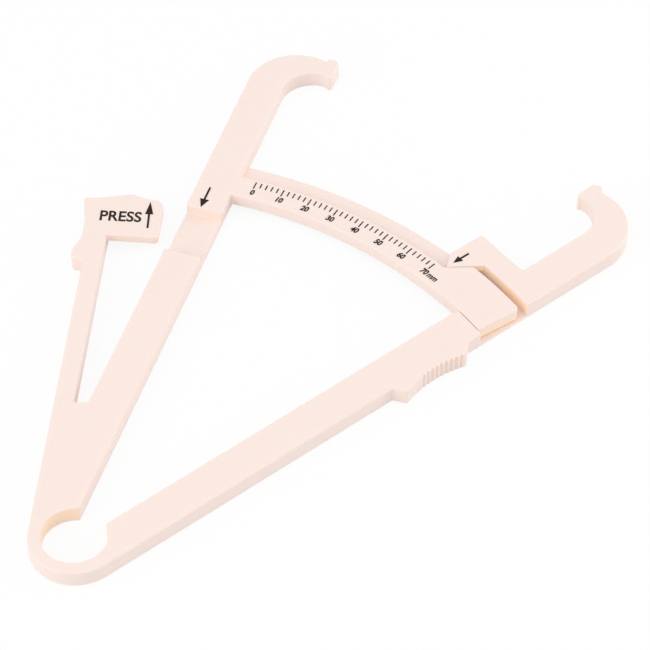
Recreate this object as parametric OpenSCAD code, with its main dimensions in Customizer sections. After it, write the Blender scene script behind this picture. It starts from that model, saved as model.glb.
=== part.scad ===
// Skinfold caliper, moulded in one piece from stiff plastic.
//
// Two arms grow out of a C-shaped spring ring.  The left arm carries an arc-shaped
// scale bar, which runs through a guide in the right arm.  A pressure lever grows out
// of the left arm's root, and its thin head slides over a saddle cut in that arm.
// Squeezing the lever and the finger grip closes the jaws on a fold, and the reading
// is taken when the lever's arrow meets the arm's arrow.
//
// Frame: origin on the axis of the spring ring, in the plane of the flat back.
// +Y runs along the middle line between the open arms, +Z out of the printed face.
// Arms are drawn in their own frame: +Y along the arm from the ring's axis, and +X
// towards the other arm, so both jaws come from the same modules.

/* [Arms] */
// Thickness of the arms, the jaws and the spring ring
arm_t = 4.6; // [4.2:0.1:6]
// Distance from the ring's centre line to the inner edge of each arm
arm_inset = 1.7; // [1:0.1:2]
// Angle from the middle line to each arm with the jaws open
half_angle = 16.75; // [16.5:0.05:17.5]

/* [Spring ring] */
// Radius of the hole through the spring ring
ring_hole_r = 7.5; // [6.5:0.1:8]
// Radius of the spring ring's outer side below and on the left
ring_r = 10.35; // [10:0.05:11]
// How much larger that radius is on the right, where the ring swells into the moving arm
ring_swell = 0.7; // [0.3:0.1:0.9]
// Distance from the ring's axis at which the arms begin
root_cut = 11.5; // [11.2:0.1:14]

/* [Jaws] */
// Distance from the ring's axis at which the jaws begin to bend
jaw_start = 149.6; // [145:0.1:155]
// Radius of the outer side of the jaw's bend
jaw_outer_r = 12.7; // [12:0.1:14]
// Radius of the inner side of the jaw's bend
jaw_inner_r = 8.3; // [7.5:0.1:8.8]
// Turn that closes the open jaws
closing_angle = 26.8; // [26:0.1:27.5]
// Gap left between the pads when the jaws are closed
pad_gap = 0.3; // [0.2:0.05:1]
// Height of the contact pad along the arm
pad_h = 7; // [6.6:0.1:7.4]

/* [Scale bar] */
// Inner radius of the scale bar
bar_inner_r = 109.4; // [108:0.1:111]
// Outer radius of the scale bar
bar_outer_r = 121.3; // [120.5:0.1:122]
// Thickness of the scale bar, flush with the printed face
bar_t = 3.6; // [3.2:0.1:3.7]
// Turn from the middle line to the free end of the scale bar
bar_end_angle = 21.7; // [20:0.1:22]
// Inner radius of the lowered band in which the pointer slides
band_r = 116; // [115.7:0.1:116.2]
// Depth of the lowered band
band_depth = 1.9; // [1.5:0.1:2.2]
// Radius of the rounded corner at the free end
bar_corner_r = 1.3; // [0.5:0.1:3]

/* [Printing] */
// Turn from the middle line to the zero mark, towards the left arm
zero_angle = 15.25; // [15:0.05:15.6]
// Highest reading on the scale in millimetres
scale_max = 70; // [70:1:71]
// Reading between two marks in millimetres
mark_step = 2; // [2:1:5]
// Radius of the outer ends of the marks
mark_outer_r = 115.1; // [115:0.1:115.6]
// Length of a short mark
short_mark = 1.6; // [1:0.1:2.4]
// Length of a numbered mark
long_mark = 2.2; // [2:0.1:3.2]
// Width of a mark
mark_w = 0.3; // [0.2:0.05:0.6]
// Height of the numbers
digit_h = 1.8; // [1:0.1:2]
// Width of the strokes of the numbers
stroke_w = 0.3; // [0.2:0.05:0.35]
// Thickness of the ink
ink_t = 0.05; // [0.03:0.01:0.1]

/* [Guide and pointer] */
// Thickness of the guide floor under the scale bar
floor_t = 0.8; // [0.6:0.1:0.8]
// Sliding gap between the scale bar and the guide's inner wall
guide_gap = 0.3; // [0.2:0.05:0.5]
// Radius of the guide's outer wall
guide_outer_r = 123.5; // [122.5:0.1:124]
// Distance from the ring's centre line to the free side of the index tab
tab_reach = 13.35; // [12.8:0.05:14]
// Distance from the ring's axis to the far edge of the index tab
tab_end = 129.5; // [128:0.1:132]
// Radius of the rounded corners at the index tab's free side
tab_corner_r = 0.8; // [0.2:0.1:2]
// Thickness of the pointer that slides in the lowered band
pointer_t = 1.7; // [1.2:0.1:1.7]
// Radius of the pointer's tip
pointer_r = 116.4; // [116.4:0.1:116.8]
// Slope of the pointer's two flanks from the arm's direction
pointer_slope = 37.5; // [35:0.5:42]

/* [Finger grip] */
// Distance from the ring's axis to the lower end of the grip
grip_start = 81.8; // [78:0.1:84]
// Distance from the ring's axis to the upper end of the grip
grip_end = 104.6; // [102:0.1:106]
// How far the horns of the grip stand out of the arm
grip_rise = 2.75; // [2.4:0.05:3.2]
// Radius of the hollow between the horns
grip_hollow_r = 29; // [26:0.5:34]
// Depth of plastic left under the hollow
grip_floor = 1.35; // [1:0.05:1.6]
// Number of grooves in the hollow
groove_count = 10; // [4:1:10]
// Distance between two grooves
groove_pitch = 1.35; // [1.2:0.05:1.35]
// Radius of a groove
groove_r = 0.42; // [0.2:0.02:0.5]

/* [Pressure lever] */
// Angle between the lever and the left arm
lever_splay = 12.75; // [12.5:0.05:13.5]
// Width of the lever beam
lever_w = 4.5; // [4.3:0.1:5]
// Distance from the ring's axis to the closed end of the slot beside the lever
slot_end = 37.9; // [34:0.1:42]
// Length of the thin root in which the lever bends
flex_len = 14; // [12:0.5:16]
// Distance from the ring's axis to the lower edge of the lever's head
head_start = 90.9; // [90.7:0.1:91.5]
// Thickness of the lever's head
head_t = 2.4; // [2:0.1:2.4]
// Depth of the saddle in the left arm that the head slides over
saddle_depth = 2.7; // [2.7:0.05:3]
// Distance from the ring's axis to the lower step of the saddle
saddle_start = 87.5; // [85:0.1:87.6]
// Distance from the ring's axis to the upper step of the saddle
saddle_end = 102.6; // [102.4:0.1:103]

/* [Hidden] */

arm_x = ring_r + ring_swell * (1 - sin(half_angle));
arm_w = arm_x - arm_inset;
closed_half_angle = half_angle - closing_angle / 2;

// The scale counts the chord that the pads span at this distance from the ring's axis.
contact_y = 158.4;
degrees_per_mm = 2 * asin(scale_max / 2 / contact_y) / scale_max;

jaw_outer_x = jaw_outer_r - arm_x;
jaw_inner_x = jaw_inner_r - arm_inset;
jaw_inner_y = jaw_start - 1;
pad_x = 6;
pad_top = 162.8;
pad_bottom = pad_top - pad_h;

band_z = arm_t - band_depth;
bar_z = arm_t - bar_t;
pointer_z = arm_t - pointer_t;
head_z = arm_t - head_t;
saddle_z = arm_t - saddle_depth;

// The pointer's tip stands over the zero mark when the jaws are closed.
pointer_turn = half_angle + zero_angle - closing_angle;
pointer_tip = [pointer_r * sin(pointer_turn), pointer_r * cos(pointer_turn)];
stop_gap = 0.35;

slot_x = lever_w - ring_r;
flex_top = slot_end + flex_len;
flex_root = 0.8;
thumb_x = -11.7;

FIGURES = "01234567";
STROKES = ["abcdef", "bc", "abged", "abgcd", "fgbc", "afgcd", "afgedc", "abc"];
digit_w = 0.55 * digit_h;

plastic = [0.992, 0.92, 0.885];
ink = [0.13, 0.09, 0.08];
arc_step = 8;
$fn = 180;

function direction(v) = v / norm(v);

function turned(p, angle) = [
    p.x * cos(angle) - p.y * sin(angle),
    p.x * sin(angle) + p.y * cos(angle)
];

// Points along an arc, from one direction to another, both ends included
function arc(centre, r, from, to) =
    let (steps = ceil(abs(to - from) / arc_step) + 1)
    [for (i = [0:steps]) let (a = from + (to - from) * i / steps) centre + r * [cos(a), sin(a)]];

// The arc that rounds the corner b of the path a, b, c with radius r
function corner(a, b, c, r) =
    let (
        to_a = direction(a - b),
        to_c = direction(c - b),
        half = acos(to_a * to_c) / 2,
        centre = b + direction(to_a + to_c) * r / sin(half),
        first = b + to_a * r / tan(half) - centre,
        last = b + to_c * r / tan(half) - centre,
        start = atan2(first.y, first.x),
        sweep = (atan2(last.y, last.x) - start + 540) % 360 - 180
    )
    arc(centre, r, start, start + sweep);

// An outline from points [x, y, radius], each corner rounded with its own radius
function rounded(points) =
    let (count = len(points))
    [for (i = [0:count - 1])
        let (
            here = points[i],
            before = points[(i + count - 1) % count],
            after = points[(i + 1) % count]
        )
        each here[2] > 0
            ? corner([before.x, before.y], [here.x, here.y], [after.x, after.y], here[2])
            : [[here.x, here.y]]
    ];

module at_fixed() { rotate([0, 0, half_angle]) children(); }

module at_moving() { mirror([1, 0, 0]) rotate([0, 0, half_angle]) children(); }

module at_lever() { rotate([0, 0, half_angle + lever_splay]) children(); }

module plate(thickness, z = 0) { translate([0, 0, z]) linear_extrude(thickness) children(); }

module ring_area(inner, outer) {
    difference() {
        circle(outer);
        circle(inner);
    }
}

// The straight strip that an arm is cut from, between two distances from the ring
module arm_strip(from, to) {
    translate([-arm_x, from]) square([arm_w, to - from]);
}

// Region of the moving arm's frame on the arm's side of the pointer's right flank
module beyond_flank(gap) {
    flank = 40 * [-sin(pointer_slope), cos(pointer_slope)];
    away = [-flank.y, flank.x];
    foot = pointer_tip + away / norm(away) * gap;
    polygon([foot - flank, foot + flank, foot + flank + away, foot - flank + away]);
}

module jaw_outline() {
    difference() {
        intersection() {
            translate([jaw_outer_x, jaw_start]) circle(jaw_outer_r);
            translate([-arm_x, jaw_start]) square([arm_x + pad_x, jaw_outer_r]);
        }
        translate([jaw_inner_x, jaw_inner_y]) circle(jaw_inner_r);
    }
}

// Pad face, parallel to the other pad's face when the jaws are closed
function pad_face(y) = y * tan(closed_half_angle) - pad_gap / 2;

module pad_outline() {
    jaw_low = jaw_inner_y + sqrt(pow(jaw_inner_r, 2) - pow(pad_x - jaw_inner_x, 2));
    jaw_high = jaw_start + sqrt(pow(jaw_outer_r, 2) - pow(pad_x - jaw_outer_x, 2));
    polygon(rounded([
        [pad_x, jaw_low, 0],
        [pad_x + 1.4, jaw_low - 0.3, 0.8],
        [pad_x + 2.3, pad_bottom + 0.1, 0.4],
        [pad_face(pad_bottom + 0.9), pad_bottom + 0.9, 0.9],
        [pad_face(pad_top - 1.1), pad_top - 1.1, 1.1],
        [pad_x + 2.2, pad_top, 0.9],
        [pad_x + 0.5, pad_top, 0.3],
        [pad_x, jaw_high, 0]
    ]));
}

// A printed arrow of unit thickness that points down the frame's -Y from [0, 0]
module arrow(length, head_length, head_w, shaft_w) {
    plate(ink_t, arm_t) polygon([
        [0, 0],
        [head_w / 2, head_length],
        [shaft_w / 2, head_length],
        [shaft_w / 2, length],
        [-shaft_w / 2, length],
        [-shaft_w / 2, head_length],
        [-head_w / 2, head_length]
    ]);
}

// C-shaped spring ring with the short shoulders that lead into the arms
module spring_ring() {
    lever_side = 180 + half_angle + lever_splay;
    arm_side = 360 - half_angle;
    arm_root = turned([-arm_x, root_cut], half_angle);
    mouth_side = turned([-arm_inset, root_cut], half_angle);
    color(plastic) plate(arm_t) difference() {
        polygon([
            each arc([0, 0], ring_r, lever_side, 270),
            each arc([0, ring_swell], ring_r + ring_swell, 270, arm_side),
            [-arm_root.x, arm_root.y],
            [-mouth_side.x, mouth_side.y],
            [0, -arm_inset / sin(half_angle)],
            mouth_side,
            turned(web_foot, half_angle)
        ]);
        circle(ring_hole_r);
    }
}

// Where the lever's outer edge crosses the line at which the fixed arm begins
web_foot_y = (root_cut + ring_r * sin(lever_splay)) / cos(lever_splay);
web_foot = turned([-ring_r, web_foot_y], lever_splay);

// Triangular web that joins the lever's root to the fixed arm, with the slot's end
module root_web() {
    color(plastic) plate(arm_t) at_fixed() difference() {
        polygon([
            web_foot,
            [-arm_x, root_cut],
            [-arm_x, slot_end + flex_root],
            turned([slot_x, slot_end + flex_root], lever_splay),
            turned([-ring_r, slot_end + flex_root], lever_splay)
        ]);
        slot_end_area();
    }
}

// Lower end of the slot between lever and fixed arm, with rounded corners
module slot_end_area() {
    low_left = turned([slot_x, slot_end], lever_splay);
    high_left = turned([slot_x, slot_end + 6], lever_splay);
    low_right = [-arm_x, low_left.y + 1.1];
    polygon(rounded([
        [low_left.x, low_left.y, 0.7],
        [low_right.x, low_right.y, 0.7],
        [-arm_x, low_right.y + 6, 0],
        [high_left.x, high_left.y, 0]
    ]));
}

// Fixed arm with the saddle that the lever's head slides over
module fixed_arm() {
    color(plastic) at_fixed() difference() {
        plate(arm_t) arm_strip(root_cut, jaw_start);
        translate([-arm_x - 1, saddle_start, saddle_z])
            cube([arm_w + 2, saddle_end - saddle_start, arm_t]);
    }
}

module fixed_jaw() {
    color(plastic) at_fixed() plate(arm_t) jaw_outline();
}

module fixed_jaw_pad() {
    color(plastic) at_fixed() plate(arm_t) pad_outline();
}

// Scale bar: an arc about the ring's axis, its outer band lowered for the pointer
module scale_bar() {
    color(plastic) difference() {
        plate(bar_t, bar_z) bar_outline();
        plate(arm_t, band_z) difference() {
            ring_area(band_r, bar_outer_r + 1);
            at_moving() beyond_flank(stop_gap);
        }
    }
}

module bar_outline() {
    corner_turn = asin(bar_corner_r / (bar_outer_r - bar_corner_r));
    corner_reach = bar_outer_r - bar_corner_r;
    difference() {
        intersection() {
            ring_area(bar_inner_r, bar_outer_r);
            polygon([
                [0, 0],
                turned([0, 2 * bar_outer_r], half_angle + 2),
                turned([0, 2 * bar_outer_r], -bar_end_angle)
            ]);
        }
        at_fixed() translate([-2 * arm_x, 0]) square([2 * arm_x - arm_inset, jaw_start]);
        rotate([0, 0, -bar_end_angle]) difference() {
            translate([-bar_corner_r, corner_reach * cos(corner_turn)]) square(2 * bar_corner_r);
            translate([-bar_corner_r, corner_reach * cos(corner_turn)]) circle(bar_corner_r);
        }
    }
}

// Printed marks of the scale, one every mark_step millimetres of jaw opening
module scale_marks() {
    color(ink) for (reading = [0:mark_step:scale_max]) {
        length = reading % 10 == 0 ? long_mark : short_mark;
        rotate([0, 0, zero_angle - reading * degrees_per_mm])
            translate([-mark_w / 2, mark_outer_r - length, arm_t])
                cube([mark_w, length, ink_t]);
    }
}

// Printed numbers, one under every mark that stands for a whole ten millimetres
module scale_numbers() {
    number_y = mark_outer_r - long_mark - 0.2 - digit_h;
    color(ink) for (reading = [0:10:scale_max])
        rotate([0, 0, zero_angle - reading * degrees_per_mm])
            plate(ink_t, arm_t) translate([0, number_y]) number(str(reading));
}

// Figures made of bars, centred on X, with their feet on the X axis
module number(figures) {
    pitch = digit_w + 0.45;
    for (i = [0:len(figures) - 1])
        translate([pitch * (i - (len(figures) - 1) / 2) - digit_w / 2, 0])
            for (bar = search(figures[i], FIGURES, 1)) figure(STROKES[bar]);
}

// One figure from the names of its bars: a to f run clockwise round it, g crosses it
module figure(bars) {
    middle = (digit_h - stroke_w) / 2;
    for (bar = bars) {
        flat = bar == "a" || bar == "d" || bar == "g";
        x = bar == "b" || bar == "c" ? digit_w - stroke_w : 0;
        y = bar == "a" ? 2 * middle : bar == "b" || bar == "f" || bar == "g" ? middle : 0;
        translate([x, y]) square(flat ? [digit_w, stroke_w] : [stroke_w, middle + stroke_w]);
    }
}

// Printed arrow on the fixed arm that the lever's arrow is brought up to
module fixed_arrow() {
    color(ink) at_fixed() translate([-7.2, saddle_end + 0.4, 0]) arrow(7, 2.8, 2.3, 0.5);
}

// Slender root of the lever, which bends as the lever is pressed
module lever_flexure() {
    color(plastic) at_lever() plate(arm_t)
        translate([-ring_r, slot_end + flex_root]) square([lever_w, flex_len - flex_root]);
}

// Moving arm from the ring up to the guide
module moving_arm() {
    color(plastic) at_moving() plate(arm_t) intersection() {
        arm_strip(root_cut, jaw_start);
        circle(bar_inner_r - guide_gap);
    }
}

// Thin floor that carries the arm under the scale bar
module guide_floor() {
    color(plastic) at_moving() plate(floor_t) intersection() {
        arm_strip(root_cut, jaw_start);
        ring_area(bar_inner_r - guide_gap, guide_outer_r);
    }
}

// Moving arm from the guide up to the jaw
module jaw_arm() {
    color(plastic) at_moving() plate(arm_t) difference() {
        arm_strip(root_cut, jaw_start);
        circle(guide_outer_r);
    }
}

// Tab beside the moving arm that carries the pointer
module index_tab() {
    color(plastic) at_moving() plate(arm_t) difference() {
        polygon(rounded([
            [-arm_inset, bar_inner_r, 0],
            [tab_reach, bar_inner_r, 0],
            [tab_reach, tab_end, tab_corner_r],
            [-arm_inset, tab_end, 0]
        ]));
        circle(guide_outer_r);
    }
}

// Thin pointer that reaches over the lowered band, ending in a V
module index_pointer() {
    side = [tab_reach, pointer_tip.y + (tab_reach - pointer_tip.x) / tan(pointer_slope)];
    flank_end = pointer_tip + [-sin(pointer_slope), cos(pointer_slope)] * 12;
    color(plastic) at_moving() plate(pointer_t, pointer_z) intersection() {
        polygon([pointer_tip, side, [tab_reach, tab_end], flank_end]);
        circle(guide_outer_r);
    }
}

module index_arrow() {
    color(ink) at_moving() translate([pointer_tip.x - 0.1, pointer_tip.y + 2.1, 0])
        arrow(4.9, 2.3, 1.9, 0.5);
}

module moving_jaw() {
    color(plastic) at_moving() plate(arm_t) jaw_outline();
}

module moving_jaw_pad() {
    color(plastic) at_moving() plate(arm_t) pad_outline();
}

// Hollow finger grip on the moving arm's outer edge, with grooves across it
module finger_grip() {
    hollow_x = -arm_x - grip_floor - grip_hollow_r;
    hollow_y = (grip_start + grip_end) / 2;
    groove_turn = groove_pitch / grip_hollow_r * 180 / PI;
    first_turn = -3.2 / grip_hollow_r * 180 / PI;
    color(plastic) at_moving() plate(arm_t) difference() {
        polygon(rounded([
            [-arm_x, grip_start, 0],
            [-arm_x, grip_end, 0],
            [-arm_x - grip_rise + 0.2, grip_end - 2.6, 0.8],
            [-arm_x - grip_rise, grip_start + 2, 0.3]
        ]));
        translate([hollow_x, hollow_y]) circle(grip_hollow_r);
        for (i = [0:groove_count - 1])
            translate([hollow_x, hollow_y]) rotate([0, 0, first_turn + i * groove_turn])
                translate([grip_hollow_r - 0.05, 0]) circle(groove_r, $fn = 24);
    }
}

// Stiff part of the lever, with a heel under its head
module lever_beam() {
    color(plastic) at_lever() {
        plate(arm_t) translate([-ring_r, flex_top]) square([lever_w, head_start - flex_top]);
        plate(head_z) translate([thumb_x, head_start]) square([slot_x - thumb_x, 8]);
    }
}

// Rest for the thumb on the lever's outer edge
module thumb_rest() {
    color(plastic) at_lever() plate(arm_t) polygon(rounded([
        [-ring_r, 82.2, 0],
        [-13.5, 82.9, 1.2],
        [-13.3, 86, 2],
        [-11.9, 89.3, 2],
        [thumb_x, head_start, 0],
        [-ring_r, head_start, 0]
    ]));
}

// Thin head of the lever with an arched upper edge
module lever_head() {
    color(plastic) at_lever() plate(head_t, head_z) polygon(rounded([
        [thumb_x, head_start, 0],
        [-11.8, 95, 6],
        [-13.1, 102.8, 0.8],
        [-8.5, 103.3, 8],
        [-1.6, 105.1, 3],
        [2.8, 103.6, 4],
        [6.7, 103.5, 2.6],
        [6.6, head_start, 1]
    ]));
}

// Printed arrow on the lever's head, pointing the other way from the arm's arrow
module press_arrow() {
    color(ink) at_lever() translate([3.35, 102.6, 0]) rotate([0, 0, 2.5]) mirror([0, 1, 0])
        arrow(8.7, 4.1, 2, 0.5);
}

spring_ring();
root_web();
fixed_arm();
fixed_jaw();
fixed_jaw_pad();
scale_bar();
scale_marks();
scale_numbers();
fixed_arrow();
lever_flexure();
moving_arm();
guide_floor();
jaw_arm();
index_tab();
index_pointer();
index_arrow();
moving_jaw();
moving_jaw_pad();
finger_grip();
lever_beam();
thumb_rest();
lever_head();
press_arrow();
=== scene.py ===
# %% [markdown]
# # A one-piece skinfold caliper
#
# The real caliper is a single flat moulding in warm cream plastic, with dark ink on its
# upper face. Nothing on it is screwed or pinned: the C-shaped ring at its root is a
# spring, and so is the slender root of the press lever. A lesson on such an object is a
# lesson on outlines, soft edges and one good plastic.
#
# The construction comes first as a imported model, in metres, with its origin on the
# ring's axis. Everything here is built round that model.

# %% Load the construction
import math

import bmesh
import bpy
from mathutils import Matrix, Vector


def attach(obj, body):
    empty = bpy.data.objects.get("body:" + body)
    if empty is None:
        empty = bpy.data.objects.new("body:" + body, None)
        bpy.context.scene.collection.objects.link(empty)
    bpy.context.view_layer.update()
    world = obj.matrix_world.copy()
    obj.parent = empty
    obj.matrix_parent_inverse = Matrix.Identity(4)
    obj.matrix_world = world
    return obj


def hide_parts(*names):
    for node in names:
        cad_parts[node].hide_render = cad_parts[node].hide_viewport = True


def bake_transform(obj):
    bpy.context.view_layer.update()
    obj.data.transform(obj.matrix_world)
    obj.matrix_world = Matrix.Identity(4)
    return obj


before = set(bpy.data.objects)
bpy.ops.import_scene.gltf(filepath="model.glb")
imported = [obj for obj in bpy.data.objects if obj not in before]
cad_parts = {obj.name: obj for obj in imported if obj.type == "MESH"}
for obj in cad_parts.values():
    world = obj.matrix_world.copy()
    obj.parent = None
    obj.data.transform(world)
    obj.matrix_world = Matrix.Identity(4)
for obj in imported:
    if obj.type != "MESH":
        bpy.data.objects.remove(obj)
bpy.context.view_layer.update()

# %% [markdown]
# ## Camera
#
# The photograph looks down at the caliper from in front, from about half a metre away.
# A camera has no angle of its own here: it is put where the photographer stood and
# turned towards a point on the caliper, so both are plain places that can be measured.
# The narrow lens keeps the arms nearly free of perspective.

# %% Camera
CAMERA_PLACE = Vector((0.26262, -0.28170, 0.50365))
CAMERA_DIRECTION = Vector((-0.37837, 0.54544, -0.74788))
LENS_MM = 157.7
SENSOR_MM = 36.0

camera_data = bpy.data.cameras.new("camera")
camera_data.lens = LENS_MM
camera_data.sensor_width = SENSOR_MM
camera = bpy.data.objects.new("camera", camera_data)
bpy.context.scene.collection.objects.link(camera)
camera.location = CAMERA_PLACE
camera.rotation_euler = CAMERA_DIRECTION.to_track_quat("-Z", "Y").to_euler()
bpy.context.scene.camera = camera
print("camera stands", round(CAMERA_PLACE.length * 1000), "mm from the ring's axis")

# %% [markdown]
# ## Floor and light
#
# The caliper lies on white. A floor lit until it is white would wash out the pale
# plastic, so the floor instead glows white for the camera alone, and is an ordinary
# matt floor for light that bounces. Mirror rays see what the camera sees, or the gloss on
# the plastic would reflect a grey room. A little of the matt floor is mixed back in,
# which keeps a soft shadow under the edges. The floor lies a tenth of a millimetre under
# the caliper, because two faces in one plane flicker.

# %% Floor
FLOOR_SIZE = 6.0
FLOOR_GAP = 0.0001
FLOOR_WHITE = 1.03
FLOOR_MATT = (0.80, 0.80, 0.80, 1)
SHADOW_SHARE = 0.14


def new_material(name):
    material = bpy.data.materials.new(name)
    material.use_nodes = True
    material.node_tree.nodes.clear()
    return material, material.node_tree.nodes, material.node_tree.links


def sees_white(nodes, links):
    """1 for rays of the camera and for rays that gloss or glass send on, 0 for the rest."""
    ray = nodes.new("ShaderNodeLightPath")
    gloss = nodes.new("ShaderNodeMath")
    glass = nodes.new("ShaderNodeMath")
    gloss.operation = glass.operation = "MAXIMUM"
    links.new(ray.outputs["Is Camera Ray"], gloss.inputs[0])
    links.new(ray.outputs["Is Glossy Ray"], gloss.inputs[1])
    links.new(gloss.outputs[0], glass.inputs[0])
    links.new(ray.outputs["Is Transmission Ray"], glass.inputs[1])
    return glass.outputs[0]


floor_material, nodes, links = new_material("white_floor")
matt = nodes.new("ShaderNodeBsdfDiffuse")
matt.inputs["Color"].default_value = FLOOR_MATT
glow = nodes.new("ShaderNodeEmission")
glow.inputs["Color"].default_value = (1, 1, 1, 1)
glow.inputs["Strength"].default_value = FLOOR_WHITE
share = nodes.new("ShaderNodeMath")
share.operation = "MULTIPLY"
share.inputs[1].default_value = 1 - SHADOW_SHARE
mix = nodes.new("ShaderNodeMixShader")
out = nodes.new("ShaderNodeOutputMaterial")
links.new(sees_white(nodes, links), share.inputs[0])
links.new(share.outputs[0], mix.inputs["Fac"])
links.new(matt.outputs[0], mix.inputs[1])
links.new(glow.outputs[0], mix.inputs[2])
links.new(mix.outputs[0], out.inputs["Surface"])

floor_bm = bmesh.new()
bmesh.ops.create_grid(floor_bm, x_segments=1, y_segments=1, size=FLOOR_SIZE / 2,
                      matrix=Matrix.Translation((0, 0, -FLOOR_GAP)))
floor_mesh = bpy.data.meshes.new("floor")
floor_bm.to_mesh(floor_mesh)
floor_bm.free()
floor = bpy.data.objects.new("floor", floor_mesh)
bpy.context.scene.collection.objects.link(floor)
floor.data.materials.append(floor_material)
print("floor", FLOOR_GAP * 1000, "mm below the caliper")

# %% [markdown]
# The light is that of a white studio: an even glow from all round, one large soft lamp
# to the left of the camera, and a weaker low one behind on the right. The lamps lift the
# walls nearly up to the brightness of the printed face.

# %% Light
WORLD_STRENGTH = 0.805
LAMPS = {"softbox_left": ((-0.42, -0.95, 0.65), 0.9, 4.5),
         "fill_behind": ((0.6, 0.7, 0.28), 0.6, 2.1)}

world = bpy.data.worlds.new("white_studio")
world.use_nodes = True
bpy.context.scene.world = world
nodes, links = world.node_tree.nodes, world.node_tree.links
nodes.clear()
around = nodes.new("ShaderNodeBackground")
around.inputs["Color"].default_value = (1, 1, 1, 1)
around.inputs["Strength"].default_value = WORLD_STRENGTH
seen = nodes.new("ShaderNodeBackground")
seen.inputs["Color"].default_value = (1, 1, 1, 1)
seen.inputs["Strength"].default_value = 1
mix = nodes.new("ShaderNodeMixShader")
out = nodes.new("ShaderNodeOutputWorld")
links.new(sees_white(nodes, links), mix.inputs["Fac"])
links.new(around.outputs[0], mix.inputs[1])
links.new(seen.outputs[0], mix.inputs[2])
links.new(mix.outputs[0], out.inputs["Surface"])

for name, (lamp_place, size, watts) in LAMPS.items():
    lamp_data = bpy.data.lights.new(name, "AREA")
    lamp_data.size = size
    lamp_data.energy = watts
    lamp = bpy.data.objects.new(name, lamp_data)
    bpy.context.scene.collection.objects.link(lamp)
    lamp.location = lamp_place
    lamp.rotation_euler = (-Vector(lamp_place)).to_track_quat("-Z", "Y").to_euler()
    print(name, watts, "W over", size, "m")
bpy.context.scene.view_settings.view_transform = "Standard"

# %% [markdown]
# ## The plastic
#
# The moulding is a stiff, slightly cloudy plastic. Its colour wanders by a per cent or
# two where the melt met, and its satin skin copies the finely blasted mould, so the
# colour comes from a slow noise between two near creams and the bump from a fine one.
# Light that enters a cloudy plastic leaves it warmer, and in an inner corner, where it
# passes from wall to wall, that light turns almost to amber. Here it is painted amber in
# the colour: occlusion finds such corners, and the more a point is shut in by its own
# piece, the more painted amber it gets. All patterns read Object coordinates, which are
# metres on the caliper itself.

# %% Plastic
CREAM = (0.985, 0.830, 0.770, 1)
CREAM_WARM = (0.988, 0.812, 0.742, 1)
FLOW_SIZE = 0.030

plastic, nodes, links = new_material("cream_plastic")
place = nodes.new("ShaderNodeTexCoord")
shader = nodes.new("ShaderNodeBsdfPrincipled")
shader.inputs["IOR"].default_value = 1.46
out = nodes.new("ShaderNodeOutputMaterial")
links.new(shader.outputs["BSDF"], out.inputs["Surface"])

flow = nodes.new("ShaderNodeTexNoise")
flow.inputs["Scale"].default_value = 1 / FLOW_SIZE
flow.inputs["Detail"].default_value = 3
flow.inputs["Distortion"].default_value = 0.6
cream = nodes.new("ShaderNodeMix")
cream.data_type = "RGBA"
cream.inputs["A"].default_value = CREAM
cream.inputs["B"].default_value = CREAM_WARM
links.new(place.outputs["Object"], flow.inputs["Vector"])
links.new(flow.outputs["Fac"], cream.inputs["Factor"])
print("flow marks", FLOW_SIZE * 1000, "mm wide")

# %% Painted amber in the inner corners
PAINTED_AMBER = (0.98, 0.74, 0.52, 1)
CORNER_REACH = 0.006
OPEN_CORNER, DEEP_CORNER = 0.85, 0.25
CORNER_SHARE = 0.32

shut_in = nodes.new("ShaderNodeAmbientOcclusion")
shut_in.inputs["Distance"].default_value = CORNER_REACH
shut_in.only_local = True
shut_in.samples = 8
# Painted amber: the deeper the occlusion, the more of the corner's bounced light is painted into
# the colour.
painted_corner_amber = nodes.new("ShaderNodeMapRange")
painted_corner_amber.inputs["From Min"].default_value = OPEN_CORNER
painted_corner_amber.inputs["From Max"].default_value = DEEP_CORNER
painted_corner_amber.inputs["To Max"].default_value = CORNER_SHARE
links.new(shut_in.outputs["AO"], painted_corner_amber.inputs["Value"])
print("amber reaches", CORNER_REACH * 1000, "mm out of a corner")

# %% [markdown]
# Some places are shut in by a neighbour and not by their own piece, so occlusion misses
# them, and the same painted amber is put on them by place: the wall of the ring's hole,
# which mostly sees the rest of that wall, the guide's outer wall, which faces the scale
# bar, the slit between the bar and the moving arm, and the bar's end with the strip of
# floor before it. The head of the lever is thin enough to let light through, so its lower
# wall gets some painted amber too, standing in for that light. Each of these places is
# fenced in by measures that a maker would take: the distance from the ring's axis, across
# an arm or up the lever, and the height. These are the tools for that.

# %% Tools to fence a place in
def add_math(operation, *values):
    node = nodes.new("ShaderNodeMath")
    node.operation = operation
    for socket, value in zip(node.inputs, values):
        if isinstance(value, (int, float)):
            socket.default_value = value
        else:
            links.new(value, socket)
    return node.outputs[0]


def between(value, low, high, soft):
    """1 between low and high, fading to 0 over a soft margin on both sides."""
    rise = nodes.new("ShaderNodeMapRange")
    rise.inputs["From Min"].default_value = low - soft
    rise.inputs["From Max"].default_value = low
    fall = nodes.new("ShaderNodeMapRange")
    fall.inputs["From Min"].default_value = high + soft
    fall.inputs["From Max"].default_value = high
    links.new(value, rise.inputs["Value"])
    links.new(value, fall.inputs["Value"])
    return add_math("MULTIPLY", rise.outputs["Result"], fall.outputs["Result"])


def distance_along(degrees):
    """Distance from the ring's axis in a direction, counted clockwise from +Y."""
    dot = nodes.new("ShaderNodeVectorMath")
    dot.operation = "DOT_PRODUCT"
    turn = math.radians(degrees)
    dot.inputs[1].default_value = (math.sin(turn), math.cos(turn), 0)
    links.new(place.outputs["Object"], dot.inputs[0])
    return dot.outputs["Value"]


# %% [markdown]
# Each arm leans away from +Y by the same angle, and the lever leans out further than the
# fixed arm does. One measure isn't a length: the bar ends along a line through the ring's
# axis, so all of its end lies at one angle from the moving arm. The sine of that angle is
# the distance across the arm divided by the distance from the axis.

# %% Measures of a place
HALF_ANGLE = 16.75
LEVER_ANGLE = HALF_ANGLE + 12.75

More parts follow.
